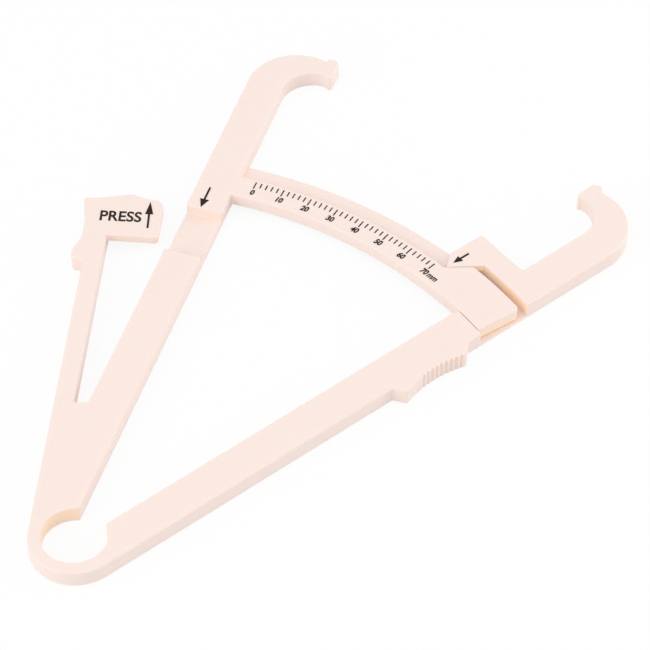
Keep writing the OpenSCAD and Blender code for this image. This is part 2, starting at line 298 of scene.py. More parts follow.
axes = nodes.new("ShaderNodeSeparateXYZ")
links.new(place.outputs["Object"], axes.inputs["Vector"])
square = add_math("ADD", add_math("MULTIPLY", axes.outputs["X"], axes.outputs["X"]),
                  add_math("MULTIPLY", axes.outputs["Y"], axes.outputs["Y"]))
from_axis = add_math("SQRT", square)
across_arm = distance_along(90 + HALF_ANGLE)
measures = {"height": axes.outputs["Z"], "from axis": from_axis, "across arm": across_arm,
            "sine from arm": add_math("DIVIDE", across_arm, from_axis),
            "across lever": distance_along(90 - LEVER_ANGLE),
            "up lever": distance_along(-LEVER_ANGLE)}
print("places are measured by", ", ".join(measures))

# %% [markdown]
# The table gives each place its share of painted amber, and then the low and high limit
# and the soft margin of each measure that fences it in. All but the sine are in metres.
# The bar's end gets its deepest painted shade at its foot, so its margin in height is wide.

# %% Painted amber in the hole, in the guide and under the head
PAINTED_AMBER_PLACES = {
    "wall of the hole": (0.55, {"from axis": (0.0073, 0.00755, 0.0002)}),
    "guide's outer wall": (1.0, {"from axis": (0.1218, 0.1235, 0.0002),
                                 "across arm": (-0.0140, 0.0104, 0.0008),
                                 "height": (0.0020, 0.0036, 0.0009)}),
    "bar's end": (0.55, {"from axis": (0.1090, 0.1215, 0.0002),
                         "sine from arm": (0.0861, 0.0866, 0.0050),
                         "height": (0, 0.0022, 0.0024)}),
    "slit before the bar": (0.2, {"from axis": (0.1091, 0.1095, 0.0001),
                                  "across arm": (0.0015, 0.0112, 0.0002),
                                  "height": (0.0007, 0.0043, 0.0004)}),
    "wall below the head": (0.15, {"up lever": (0.0906, 0.0911, 0.0002),
                                   "across lever": (-0.0060, 0.0070, 0.0002),
                                   "height": (0, 0.0040, 0.0004)})}

# Painted amber: each place and each deep corner paints in the largest share of amber it is
# given.
painted_amber_share = painted_corner_amber.outputs["Result"]
for share, fences in PAINTED_AMBER_PLACES.values():
    for measure, limits in fences.items():
        share = add_math("MULTIPLY", share, between(measures[measure], *limits))
    painted_amber_share = add_math("MAXIMUM", painted_amber_share, share)
amber = nodes.new("ShaderNodeMix")
amber.data_type = "RGBA"
amber.inputs["B"].default_value = PAINTED_AMBER
links.new(cream.outputs["Result"], amber.inputs["A"])
links.new(painted_amber_share, amber.inputs["Factor"])
links.new(amber.outputs["Result"], shader.inputs["Base Color"])
print("amber also at:", ", ".join(PAINTED_AMBER_PLACES))

# %% [markdown]
# Such a corner is also lighter than its shade would make it, because light seeps into it
# through the plastic. A faint painted glow stands in for that light, and only where the
# amber is painted.

# %% Painted glow for light that seeps through
PAINTED_GLOW_COLOUR = (1.0, 0.78, 0.55, 1)
PAINTED_GLOW_STRENGTH = 0.11

# Painted glow: emission in the plastic, strongest where the most amber is painted.
shader.inputs["Emission Color"].default_value = PAINTED_GLOW_COLOUR
links.new(add_math("MULTIPLY", painted_amber_share, PAINTED_GLOW_STRENGTH), shader.inputs["Emission Strength"])

# %% [markdown]
# A little true scattering under the skin softens the shade on every edge. It stays
# small, because it would otherwise show the planes where the moulding is cut so that it
# can bend.

# %% Skin of the plastic
GRAIN_SIZE = 0.00035

shader.inputs["Subsurface Weight"].default_value = 0.15
shader.inputs["Subsurface Radius"].default_value = (1.0, 0.5, 0.25)
shader.inputs["Subsurface Scale"].default_value = 0.001
grain = nodes.new("ShaderNodeTexNoise")
grain.inputs["Scale"].default_value = 1 / GRAIN_SIZE
grain.inputs["Detail"].default_value = 2
satin = nodes.new("ShaderNodeMapRange")
satin.inputs["To Min"].default_value = 0.40
satin.inputs["To Max"].default_value = 0.52
bump = nodes.new("ShaderNodeBump")
bump.inputs["Strength"].default_value = 0.12
bump.inputs["Distance"].default_value = 0.00002
links.new(place.outputs["Object"], grain.inputs["Vector"])
links.new(grain.outputs["Fac"], satin.inputs["Value"])
links.new(satin.outputs["Result"], shader.inputs["Roughness"])
links.new(grain.outputs["Fac"], bump.inputs["Height"])
links.new(bump.outputs["Normal"], shader.inputs["Normal"])
print("grain", GRAIN_SIZE * 1000, "mm")

# %% [markdown]
# ## The ink
#
# The print is a dark warm ink, pressed on by a soft pad. Its skin is a little uneven
# where the pad lifted off, so a fine noise moves both its tone and its gloss.

# %% Ink
INK_DARK = (0.018, 0.008, 0.006, 1)
INK_THIN = (0.042, 0.022, 0.018, 1)
LIFT_SIZE = 0.0004

ink, nodes, links = new_material("printed_ink")
place = nodes.new("ShaderNodeTexCoord")
shader = nodes.new("ShaderNodeBsdfPrincipled")
shader.inputs["Specular IOR Level"].default_value = 0.15
out = nodes.new("ShaderNodeOutputMaterial")
links.new(shader.outputs["BSDF"], out.inputs["Surface"])
lift = nodes.new("ShaderNodeTexNoise")
lift.inputs["Scale"].default_value = 1 / LIFT_SIZE
tone = nodes.new("ShaderNodeMix")
tone.data_type = "RGBA"
tone.inputs["A"].default_value = INK_DARK
tone.inputs["B"].default_value = INK_THIN
gloss = nodes.new("ShaderNodeMapRange")
gloss.inputs["To Min"].default_value = 0.5
gloss.inputs["To Max"].default_value = 0.7
links.new(place.outputs["Object"], lift.inputs["Vector"])
links.new(lift.outputs["Fac"], tone.inputs["Factor"])
links.new(tone.outputs["Result"], shader.inputs["Base Color"])
links.new(lift.outputs["Fac"], gloss.inputs["Value"])
links.new(gloss.outputs["Result"], shader.inputs["Roughness"])
print("ink lifts off in spots of", LIFT_SIZE * 1000, "mm")

# %% [markdown]
# ## Working in millimetres
#
# Blender's bevel compares lengths with small fixed numbers that suit objects of about a
# metre, and this caliper's edges are rounded by less than half a millimetre. So every
# mesh is shaped in millimetres and brought down to metres as its last step. The arms
# and the lever each have a frame of their own, with Y along them, as a maker would draw
# them. The moving arm's frame is the fixed arm's in a mirror, so one outline can serve
# both arms.

# %% Frames of the arms and the lever
MM = 0.001
THICKNESS = 4.6

WHOLE = Matrix.Identity(4)
FIXED = Matrix.Rotation(math.radians(HALF_ANGLE), 4, "Z")
MOVING = Matrix.Scale(-1, 4, (1, 0, 0)) @ FIXED
LEVER = Matrix.Rotation(math.radians(LEVER_ANGLE), 4, "Z")


def on(own_frame, x, y, z=0.0):
    """A point of an arm's own frame, in the caliper's frame, in millimetres."""
    return own_frame @ Vector((x, y, z))


print("the arms stand", 2 * HALF_ANGLE, "degrees apart,", THICKNESS, "mm thick")

# %% [markdown]
# ## A pen for outlines
#
# Everything on the caliper is a flat outline with straight walls, so one tool draws all
# of it. The pen is a single vertex. Extruding it draws a line, spinning it draws an arc,
# and the closed loop is filled and extruded to its thickness. A corner is given as x, y
# and, where it is rounded, the radius. It is rounded last, by a bevel on its upright edge
# alone. The bevel's width isn't that radius: the sharper the corner, the further from it
# the rounding starts.

# %% The pen
ARC_ERROR = 0.008
SAME_PLACE = 0.01
STEPS_PER_RADIAN = 5


def bevel(bm, edges, width, steps):
    bmesh.ops.bevel(bm, geom=edges, offset=width, offset_type="OFFSET", segments=steps,
                    profile=0.5, affect="EDGES", material=-1, clamp_overlap=False)


class Pen:
    """Draws one closed outline, in any of the frames, and makes a solid of it."""

    def __init__(self, own_frame, x, y):
        self.bm = bmesh.new()
        self.tip = self.start = self.bm.verts.new(on(own_frame, x, y))
        self.corners = []

    def line(self, own_frame, x, y, radius=0.0):
        self.tip = bmesh.ops.extrude_vert_indiv(self.bm, verts=[self.tip])["verts"][0]
        self.tip.co = on(own_frame, x, y)
        if radius:
            self.corners.append((self.tip.co.copy(), radius))

    def arc(self, own_frame, x, y, degrees):
        """Turns the tip about a point; a mirrored frame turns it the other way."""
        centre = on(own_frame, x, y)
        turn = math.radians(degrees) * own_frame.determinant()
        finest = 2 * math.acos(1 - ARC_ERROR / (self.tip.co - centre).length)
        spun = bmesh.ops.spin(self.bm, geom=[self.tip], cent=centre, axis=(0, 0, 1), angle=turn,
                              steps=max(2, math.ceil(abs(turn) / finest)), use_merge=False)
        self.tip = spun["geom_last"][0]

    def solid(self, name, low, high):
        """Closes the outline and gives it walls from one height to another."""
        bm = self.bm
        if (self.tip.co - self.start.co).length > SAME_PLACE:
            bm.edges.new((self.tip, self.start))
        bmesh.ops.remove_doubles(bm, verts=bm.verts, dist=SAME_PLACE)
        base = bmesh.ops.contextual_create(bm, geom=bm.edges[:])["faces"]
        feet = set(bm.verts)
        bmesh.ops.extrude_face_region(bm, geom=base, use_keep_orig=True)
        for vert in bm.verts:
            vert.co.z = low if vert in feet else high
        bmesh.ops.recalc_face_normals(bm, faces=bm.faces)
        for corner, radius in self.corners:
            upright = next(e for e in bm.edges if is_upright(e)
                           and (e.verts[0].co.xy - corner.xy).length < SAME_PLACE)
            turn = upright.calc_face_angle(0)
            steps = max(3, math.ceil(turn * STEPS_PER_RADIAN))
            bevel(bm, [upright], radius * math.tan(turn / 2), steps)
        bmesh.ops.recalc_face_normals(bm, faces=bm.faces)
        return new_object(name, bm)


def is_upright(edge):
    rise = edge.verts[0].co - edge.verts[1].co
    return rise.xy.length < 0.001 and abs(rise.z) > 0.3


def rectangle(own_frame, left, right, near, far):
    pen = Pen(own_frame, left, near)
    pen.line(own_frame, right, near)
    pen.line(own_frame, right, far)
    pen.line(own_frame, left, far)
    return pen


# %% Objects from bmeshes, and booleans between them
def new_object(name, bm):
    mesh = bpy.data.meshes.new(name)
    bm.to_mesh(mesh)
    bm.free()
    made = bpy.data.objects.new(name, mesh)
    bpy.context.scene.collection.objects.link(made)
    return made


def bake_modifiers(piece):
    """Replaces the piece's mesh by what its modifiers make of it."""
    bpy.context.view_layer.update()
    shaped = piece.evaluated_get(bpy.context.evaluated_depsgraph_get())
    old = piece.data
    piece.data = bpy.data.meshes.new_from_object(shaped)
    piece.modifiers.clear()
    bpy.data.meshes.remove(old)


def combine(piece, other, operation, keep_other=False):
    cut = piece.modifiers.new("combine", "BOOLEAN")
    cut.operation = operation
    cut.solver = "EXACT"
    cut.object = other
    bake_modifiers(piece)
    if not keep_other:
        bpy.data.objects.remove(other)


# %% [markdown]
# ## One jaw, drawn twice
#
# Both jaws are the same outline in their arms' own frames: the arm's inner edge runs
# tangent into a hook, the hook ends in a small pad, and the outer arc leads back to the
# arm. The pad's face is tilted so that the two faces are parallel once the jaws close.
# The spring ring swells a little towards the moving arm, whose outer edge runs tangent
# into it, so the arms' width comes from the ring's size.

# %% The jaw's outline
RING_R, RING_SWELL = 10.35, 0.7
ARM_INNER = -1.7
ARM_OUTER = -RING_R - RING_SWELL * (1 - math.sin(math.radians(HALF_ANGLE)))
JAW_START = 149.6
HOOK_INNER_R, HOOK_OUTER_R = 8.3, 12.7
HOOK_INNER = (ARM_INNER + HOOK_INNER_R, JAW_START - 1)
HOOK_OUTER = (ARM_OUTER + HOOK_OUTER_R, JAW_START)
PAD_X = 6.0
PAD_TOP, PAD_BOTTOM = 162.8, 155.8
CLOSING_TURN = 26.8
CLOSED_TILT = math.tan(math.radians(HALF_ANGLE - CLOSING_TURN / 2))
CLOSED_GAP = 0.3


def pad_face(y):
    return y * CLOSED_TILT - CLOSED_GAP / 2


PAD_CORNERS = ((PAD_X + 1.4, PAD_BOTTOM + 0.78, 0.8), (PAD_X + 2.3, PAD_BOTTOM + 0.1, 0.5),
               (pad_face(PAD_BOTTOM + 0.9), PAD_BOTTOM + 0.9, 0.9),
               (pad_face(PAD_TOP - 1.1), PAD_TOP - 1.1, 1.1),
               (PAD_X + 2.2, PAD_TOP, 0.9), (PAD_X + 0.5, PAD_TOP, 0.5))


def draw_jaw(pen, own_frame):
    """From the arm's inner edge round the jaw to the arm's outer edge."""
    inner_turn = 180 - math.degrees(math.acos((PAD_X - HOOK_INNER[0]) / HOOK_INNER_R))
    outer_start = math.degrees(math.acos((PAD_X - HOOK_OUTER[0]) / HOOK_OUTER_R))
    back_y = HOOK_OUTER[1] + HOOK_OUTER_R * math.sin(math.radians(outer_start))
    pen.line(own_frame, ARM_INNER, HOOK_INNER[1])
    pen.arc(own_frame, *HOOK_INNER, -inner_turn)
    for corner in PAD_CORNERS:
        pen.line(own_frame, *corner)
    pen.line(own_frame, PAD_X, back_y)
    pen.arc(own_frame, *HOOK_OUTER, 180 - outer_start)


# %% [markdown]
# ## The main plate
#
# One closed outline holds most of the caliper, at full thickness: up the fixed arm,
# round its jaw, down to the slot, up and round the press lever, through the spring ring
# and up the moving arm to the guide, then back down into the ring's hole. Drawing it in
# one go leaves no seam anywhere.

# %% Sizes of the ring, the lever, the grip and the guide
HOLE_R = 7.5
LEVER_IN, LEVER_OUT = -5.85, -RING_R
SLOT_END, SLOT_SLANT, SLOT_ROUND = 37.9, 1.1, 0.7
HEAD_START, HEEL_END = 90.9, 98.9
HEAD_LEFT = -11.7
THUMB_REST = ((-11.9, 89.3, 2.0), (-13.3, 86.0, 2.0), (-13.5, 82.9, 1.2), (LEVER_OUT, 82.2, 0.5))
GRIP_START, GRIP_END, GRIP_RISE = 81.8, 104.6, 2.75
GRIP_TOP = ((ARM_OUTER - GRIP_RISE, GRIP_START + 2, 0.5),
            (ARM_OUTER - GRIP_RISE + 0.2, GRIP_END - 2.6, 0.8))
GUIDE_INNER_R, GUIDE_OUTER_R = 109.2, 123.5


def height_on_circle(radius, x):
    return math.sqrt(radius * radius - x * x)


def turn_between(radius, from_x, to_x):
    """The turn in degrees between two points of an arm's frame on a circle about the ring."""
    return math.degrees(math.asin(to_x / radius) - math.asin(from_x / radius))


mouth_y = height_on_circle(HOLE_R, ARM_INNER)
mouth_angle = HALF_ANGLE + math.degrees(math.asin(-ARM_INNER / HOLE_R))
slot_foot = FIXED.inverted() @ on(LEVER, LEVER_IN, SLOT_END)
print("the hole opens over", round(2 * mouth_angle, 1), "degrees")

# %% Main plate
plate = Pen(FIXED, ARM_INNER, mouth_y)
draw_jaw(plate, FIXED)
plate.line(FIXED, ARM_OUTER, slot_foot.y + SLOT_SLANT, SLOT_ROUND)
plate.line(LEVER, LEVER_IN, SLOT_END, SLOT_ROUND)
plate.line(LEVER, LEVER_IN, HEEL_END)
plate.line(LEVER, HEAD_LEFT, HEEL_END)
plate.line(LEVER, HEAD_LEFT, HEAD_START)
for corner in THUMB_REST:
    plate.line(LEVER, *corner)
plate.line(LEVER, LEVER_OUT, 0)
plate.arc(WHOLE, 0, 0, 90 - LEVER_ANGLE)
plate.arc(WHOLE, 0, RING_SWELL, 90 - HALF_ANGLE)
plate.line(MOVING, ARM_OUTER, GRIP_START)
for corner in GRIP_TOP:
    plate.line(MOVING, *corner)
plate.line(MOVING, ARM_OUTER, GRIP_END)
plate.line(MOVING, ARM_OUTER, height_on_circle(GUIDE_INNER_R, ARM_OUTER))
plate.arc(WHOLE, 0, 0, turn_between(GUIDE_INNER_R, ARM_OUTER, ARM_INNER))
plate.line(MOVING, ARM_INNER, mouth_y)
plate.arc(WHOLE, 0, 0, 2 * mouth_angle - 360)
moulding = plate.solid("moulding", 0, THICKNESS)
print("main plate", len(moulding.data.vertices), "points")

# %% [markdown]
# ## The moving jaw's plate
#
# Beyond the guide the moving arm goes on as a second plate: the index tab, the rest of
# the arm, and the jaw.

# %% Jaw plate
TAB_REACH, TAB_END = 13.35, 129.5
TAB_ROUND, TAB_FOOT_ROUND = 0.8, 0.9

jaw_plate = Pen(MOVING, ARM_OUTER, height_on_circle(GUIDE_OUTER_R, ARM_OUTER))
jaw_plate.arc(MOVING, 0, 0, -turn_between(GUIDE_OUTER_R, ARM_OUTER, TAB_REACH))
jaw_plate.line(MOVING, TAB_REACH, TAB_END, TAB_ROUND)
jaw_plate.line(MOVING, ARM_INNER, TAB_END, TAB_FOOT_ROUND)
draw_jaw(jaw_plate, MOVING)
combine(moulding, jaw_plate.solid("jaw_plate", 0, THICKNESS), "UNION")
print("index tab", round(TAB_REACH - ARM_INNER, 2), "mm out from the arm")

# %% [markdown]
# ## Floor of the guide, and the pointer
#
# Under the scale bar the moving arm is only a thin floor, and over the bar's lowered
# band reaches a thin pointer. Both overlap the plates that carry them by a millimetre,
# because a union of solids that only touch can leave a crack. The pointer's direction
# follows from its work: once the jaws have turned shut, it stands on the zero mark.

# %% Floor and pointer
OVERLAP = 1.0
FLOOR_T = 0.8
POINTER_LOW = THICKNESS - 1.7
POINTER_R = 116.4
ZERO_MARK = 15.25
POINTER_TURN = math.radians(HALF_ANGLE + ZERO_MARK - CLOSING_TURN)
POINTER_SLOPE = math.radians(37.5)

lap_low = height_on_circle(GUIDE_INNER_R, ARM_OUTER) - OVERLAP
lap_high = GUIDE_OUTER_R + OVERLAP
guide_floor = rectangle(MOVING, ARM_OUTER, ARM_INNER, lap_low, lap_high)
combine(moulding, guide_floor.solid("guide_floor", 0, FLOOR_T), "UNION")

tip_x, tip_y = POINTER_R * math.sin(POINTER_TURN), POINTER_R * math.cos(POINTER_TURN)
pointer = Pen(MOVING, tip_x, tip_y)
pointer.line(MOVING, TAB_REACH, tip_y + (TAB_REACH - tip_x) / math.tan(POINTER_SLOPE))
pointer.line(MOVING, TAB_REACH, lap_high)
pointer.line(MOVING, tip_x - (lap_high - tip_y) * math.tan(POINTER_SLOPE), lap_high)
combine(moulding, pointer.solid("pointer", POINTER_LOW, THICKNESS), "UNION")
print("pointer's tip at", round(tip_x, 2), round(tip_y, 2), "mm in the moving arm's frame")

# %% [markdown]
# ## Scale bar
#
# The bar is an arc about the ring's axis. It starts inside the fixed arm, where the union
# swallows its root, and ends in the open.

# %% Scale bar
BAR_INNER_R, BAR_OUTER_R = 109.4, 121.3
BAR_LOW = 1.0
BAR_END = 90 - 21.7
BAR_CORNER_R = 1.3
BAR_ROOT_X = ARM_INNER - 2


def angle_on_circle(radius, x):
    """Direction in degrees of the fixed arm's point at x on a circle about the ring."""
    return 90 + HALF_ANGLE + math.degrees(math.asin(-x / radius))


def ray(degrees, radius):
    return radius * math.cos(math.radians(degrees)), radius * math.sin(math.radians(degrees))


bar_pen = Pen(FIXED, BAR_ROOT_X, height_on_circle(BAR_INNER_R, BAR_ROOT_X))
bar_pen.arc(WHOLE, 0, 0, BAR_END - angle_on_circle(BAR_INNER_R, BAR_ROOT_X))
bar_pen.line(WHOLE, *ray(BAR_END, BAR_OUTER_R), BAR_CORNER_R)
bar_pen.arc(WHOLE, 0, 0, angle_on_circle(BAR_OUTER_R, BAR_ROOT_X) - BAR_END)
bar = bar_pen.solid("scale_bar_shape", BAR_LOW, THICKNESS)
print("scale bar from", BAR_INNER_R, "to", BAR_OUTER_R, "mm")

# %% [markdown]
# The bar's outer band is lowered, so that the pointer can slide over it. The band stops
# at a slanted step, which the pointer's flank meets when the jaws are fully open, so the
# step is drawn parallel to that flank and a hair away from it. The lowering is a second
# outline, taken off the bar. It starts well inside the fixed arm and ends past the bar's
# outer edge, because a cutter has to reach further than what it cuts.

# %% Lowered band
BAND_R, BAND_LOW = 116.0, 2.7
BAND_START = 90 + HALF_ANGLE + 4
STOP_GAP = 0.03
CUT_PAST = 1


def meet_circle(point, heading, radius):
    """Where a line from a point, in a heading, crosses a circle about the ring's axis."""
    b = point.dot(heading)
    return point + heading * (-b + math.sqrt(b * b - point.dot(point) + radius * radius))


def direction_of(point):
    return math.degrees(math.atan2(point.y, point.x))


off_flank = Vector((-math.cos(POINTER_SLOPE), -math.sin(POINTER_SLOPE), 0))
stop = on(MOVING, tip_x, tip_y) + MOVING.to_3x3() @ off_flank * STOP_GAP
along = MOVING.to_3x3() @ Vector((-math.sin(POINTER_SLOPE), math.cos(POINTER_SLOPE), 0))
step_in = meet_circle(stop, along, BAND_R)
step_out = meet_circle(stop, along, BAR_OUTER_R + CUT_PAST)
band = Pen(WHOLE, *ray(BAND_START, BAND_R))
band.arc(WHOLE, 0, 0, direction_of(step_in) - BAND_START)
band.line(WHOLE, step_out.x, step_out.y)
band.arc(WHOLE, 0, 0, BAND_START - direction_of(step_out))
combine(bar, band.solid("band", BAND_LOW, THICKNESS + CUT_PAST), "DIFFERENCE")
combine(moulding, bar, "UNION")
print("slanted step", round((step_out - step_in).length, 1), "mm long")

# %% [markdown]
# ## Lever head and saddle
#
# The press lever ends in a thin head that slides over the fixed arm. The arm is lowered
# there by a saddle, so that head and arm stay flush on the printed face. The head's
# upper edge is an easy curve, drawn with a few widely rounded corners.

# %% Head and saddle
HEAD_LOW = THICKNESS - 2.4
SADDLE_LOW = THICKNESS - 2.7
SADDLE_START, SADDLE_END = 87.5, 102.6
HEAD_CORNERS = ((-11.8, 95.0, 6.0), (-13.1, 102.8, 0.8), (-8.5, 103.3, 8.0), (-1.6, 105.1, 3.0),
                (2.8, 103.6, 4.0), (6.7, 103.5, 2.6), (6.6, HEAD_START, 1.0))

head = Pen(LEVER, HEAD_LEFT, HEAD_START)
for corner in HEAD_CORNERS:
    head.line(LEVER, *corner)
combine(moulding, head.solid("head", HEAD_LOW, THICKNESS), "UNION")

saddle = rectangle(FIXED, ARM_OUTER - CUT_PAST, ARM_INNER + CUT_PAST, SADDLE_START, SADDLE_END)
combine(moulding, saddle.solid("saddle", SADDLE_LOW, THICKNESS + CUT_PAST), "DIFFERENCE")
print("saddle from", SADDLE_START, "to", SADDLE_END, "mm along the fixed arm")

# %% [markdown]
# ## Finger grip
#
# The grip's block is already part of the main plate. Its hollow is a true cylinder,
# curved like the finger that rests in it, so a standing cylinder cuts it.

# %% Hollow
HOLLOW_R, HOLLOW_FLOOR = 29.0, 1.35
HOLLOW_X = ARM_OUTER - HOLLOW_FLOOR - HOLLOW_R
HOLLOW_Y = (GRIP_START + GRIP_END) / 2
HOLLOW_SIDES = 160


def standing_rod(bm, own_frame, x, y, radius, sides):
    middle = Matrix.Translation(on(own_frame, x, y, THICKNESS / 2))
    bmesh.ops.create_cone(bm, cap_ends=True, segments=sides, radius1=radius, radius2=radius,
                          depth=THICKNESS + 2 * CUT_PAST, matrix=middle)


hollow_bm = bmesh.new()
standing_rod(hollow_bm, MOVING, HOLLOW_X, HOLLOW_Y, HOLLOW_R, HOLLOW_SIDES)
combine(moulding, new_object("hollow", hollow_bm), "DIFFERENCE")
print("grip hollow", HOLLOW_R, "mm in radius")

# %% [markdown]
# ## Soft edges
#
# A mould can't have a sharp edge: each is rounded by about 0.4 of a millimetre, and that
# thin curve is what catches the light. One bevel rounds every sharp edge, those in the
# hollows too, because a milled mould leaves them just as round. It runs on the united
# solid, after its flat faces have been dissolved back into one each: a seam that no
# longer exists can't catch the light. Three places stay sharp: the edges where the
# pointer stops at the bar's step, because there the two faces look like one and touch,
# the thin floor of the guide, and the hollow corner under the pointer. In the last two a
# rounding has no room, and the bevel would throw a thin fin out of the wall.

# %% Which edges are rounded
SHARP = math.radians(28)
NEAR_STEP, BEFORE_STEP = 0.2, 0.5
SAME_HEIGHT = 0.01


def is_sharp(edge, limit=SHARP):
    return len(edge.link_faces) == 2 and edge.calc_face_angle(0) > limit


def lies_at(edge, height):
    return all(abs(v.co.z - height) < SAME_HEIGHT for v in edge.verts)


def is_at_stop(edge):
    """On an upper edge where the pointer stops at the bar's step, or at the step's foot."""
    for vert in edge.verts:
        offset = vert.co - stop
        if abs(offset.cross(along).z) >= NEAR_STEP or offset.dot(along) <= -BEFORE_STEP:
            return False
        if BAND_LOW + SAME_HEIGHT < vert.co.z < THICKNESS - SAME_HEIGHT:
            return False
    return True


def has_no_room(edge):
    """On the guide's floor, or in the hollow corner under the pointer."""
    return lies_at(edge, FLOOR_T) or (lies_at(edge, POINTER_LOW) and not edge.is_convex)


# %% Round the edges
EDGE_ROUND = 0.38
EDGE_STEPS = 3
FLAT = math.radians(0.3)

bm = bmesh.new()
bm.from_mesh(moulding.data)
bmesh.ops.remove_doubles(bm, verts=bm.verts, dist=0.003)
bmesh.ops.dissolve_limit(bm, angle_limit=FLAT, verts=bm.verts, edges=bm.edges)
bmesh.ops.recalc_face_normals(bm, faces=bm.faces)

sharp_edges = [e for e in bm.edges
               if is_sharp(e) and not is_at_stop(e) and not has_no_room(e)]
bevel(bm, sharp_edges, EDGE_ROUND, EDGE_STEPS)
bmesh.ops.remove_doubles(bm, verts=bm.verts, dist=0.002)
bmesh.ops.recalc_face_normals(bm, faces=bm.faces)
bm.to_mesh(moulding.data)
bm.free()
print("rounded", len(sharp_edges), "edges,", len(moulding.data.polygons), "faces")

# %% [markdown]
# ## Cutting the moulding at its living hinges
#
# The moulding bends in two places: in the ring, and in the slender root of the lever.
# It is cut there with blocks, which leaves closed solids whose cut faces meet exactly.
# What is left over falls into three loose parts: the fixed side, the moving side and
# the lever.

# %% Cut out the ring and the lever's root
FLEX_START, FLEX_END = 38.7, 51.9
FLEX_LEFT, FLEX_RIGHT = LEVER_OUT - 2, LEVER_IN + 1.5
CUTTER_LOW, CUTTER_HIGH = -5, 10
WIDE = 40


def cut_out(name, outline):
    """The part of the moulding inside an outline, which is taken out of the moulding."""
    cutter = outline.solid("cutter", CUTTER_LOW, CUTTER_HIGH)
    part = bpy.data.objects.new(name, moulding.data.copy())
    bpy.context.scene.collection.objects.link(part)
    combine(part, cutter, "INTERSECT", keep_other=True)
    combine(moulding, cutter, "DIFFERENCE")
    return part


spring = cut_out("spring_ring_skin", rectangle(WHOLE, -WIDE, WIDE, -WIDE, 0))
lever_root = cut_out("lever_root_skin",
                     rectangle(LEVER, FLEX_LEFT, FLEX_RIGHT, FLEX_START, FLEX_END))
for part in (spring, lever_root):
    print(part.name, len(part.data.polygons), "faces")


# %% Split what is left into its loose parts
def loose_part(name, landmark):
    """A new object from the loose part of the moulding that is nearest to a landmark."""
    bm = bmesh.new()
    bm.from_mesh(moulding.data)
    start = min(bm.verts, key=lambda v: (v.co - landmark).length)
    reached, border = {start}, [start]
    while border:
        for edge in border.pop().link_edges:
            for vert in edge.verts:
                if vert not in reached:
                    reached.add(vert)
                    border.append(vert)
    bmesh.ops.delete(bm, geom=[v for v in bm.verts if v not in reached], context="VERTS")
    return new_object(name, bm)


fixed_side = loose_part("fixed_side_skin", on(FIXED, -6, 162))
moving_side = loose_part("moving_side_skin", on(MOVING, -6, 162))
lever = loose_part("press_lever_skin", on(LEVER, 0, 104))
whole_count = len(moulding.data.vertices)
bpy.data.objects.remove(moulding)
counts = [len(part.data.vertices) for part in (fixed_side, moving_side, lever)]
print("loose parts", counts, "of", whole_count, "points")

# %% [markdown]
# ## Grooves of the grip
#
# A row of fine grooves runs down the hollow so that a fingertip doesn't slip. They are
# finer than the rounding of the edges, so they are cut after it, each by a thin rod that
# stands on the hollow's own arc.

# %% Grooves
GROOVE_COUNT = 10
GROOVE_PITCH = 1.35
GROOVE_R, GROOVE_SIDES = 0.42, 20
FIRST_GROOVE = -3.2
ROW_R = HOLLOW_R - 0.05

grooves_bm = bmesh.new()
for i in range(GROOVE_COUNT):
    turn = (FIRST_GROOVE + i * GROOVE_PITCH) / HOLLOW_R
    standing_rod(grooves_bm, MOVING, HOLLOW_X + ROW_R * math.cos(turn),
                 HOLLOW_Y + ROW_R * math.sin(turn), GROOVE_R, GROOVE_SIDES)
combine(moving_side, new_object("grooves", grooves_bm), "DIFFERENCE")
print(GROOVE_COUNT, "grooves,", GROOVE_PITCH, "mm apart")

# %% [markdown]
# ## Finishing a moulded part
#
# The lever's root needs points along its length, or it would bend as a straight plank
# does, so cuts across it add them. Then each part is brought down to metres. Its faces
# are shaded smooth, with normals weighted by area: the large flat faces keep their own
# normal, and the thin rounded edges turn the light from one to the next.

# %% Finish the parts
ROOT_SLICES = 8
CREASE = math.radians(40)


def slice_across(part, own_frame, start, end, count):
    bm = bmesh.new()
    bm.from_mesh(part.data)
    lengthwise = (own_frame.to_3x3() @ Vector((0, 1, 0))).normalized()
    for i in range(1, count):
        cut = on(own_frame, 0, start + (end - start) * i / count)
        bmesh.ops.bisect_plane(bm, geom=bm.verts[:] + bm.edges[:] + bm.faces[:], dist=0.0005,
                               plane_co=cut, plane_no=lengthwise)
    bm.to_mesh(part.data)
    bm.free()


def finish_part(part, material):
    bm = bmesh.new()
    bm.from_mesh(part.data)
    bmesh.ops.remove_doubles(bm, verts=bm.verts, dist=0.001)
    bmesh.ops.recalc_face_normals(bm, faces=bm.faces)
    for face in bm.faces:
        face.smooth = True
    for edge in bm.edges:
        edge.smooth = not is_sharp(edge, CREASE)
    open_edges = [e for e in bm.edges if len(e.link_faces) != 2]
    bmesh.ops.scale(bm, vec=(MM, MM, MM), verts=bm.verts)
    bm.to_mesh(part.data)
    bm.free()
    weighted = part.modifiers.new("weighted", "WEIGHTED_NORMAL")
    weighted.keep_sharp = True
    bake_modifiers(part)
    part.data.materials.clear()
    part.data.materials.append(material)
    print(part.name, "open edges:", len(open_edges))


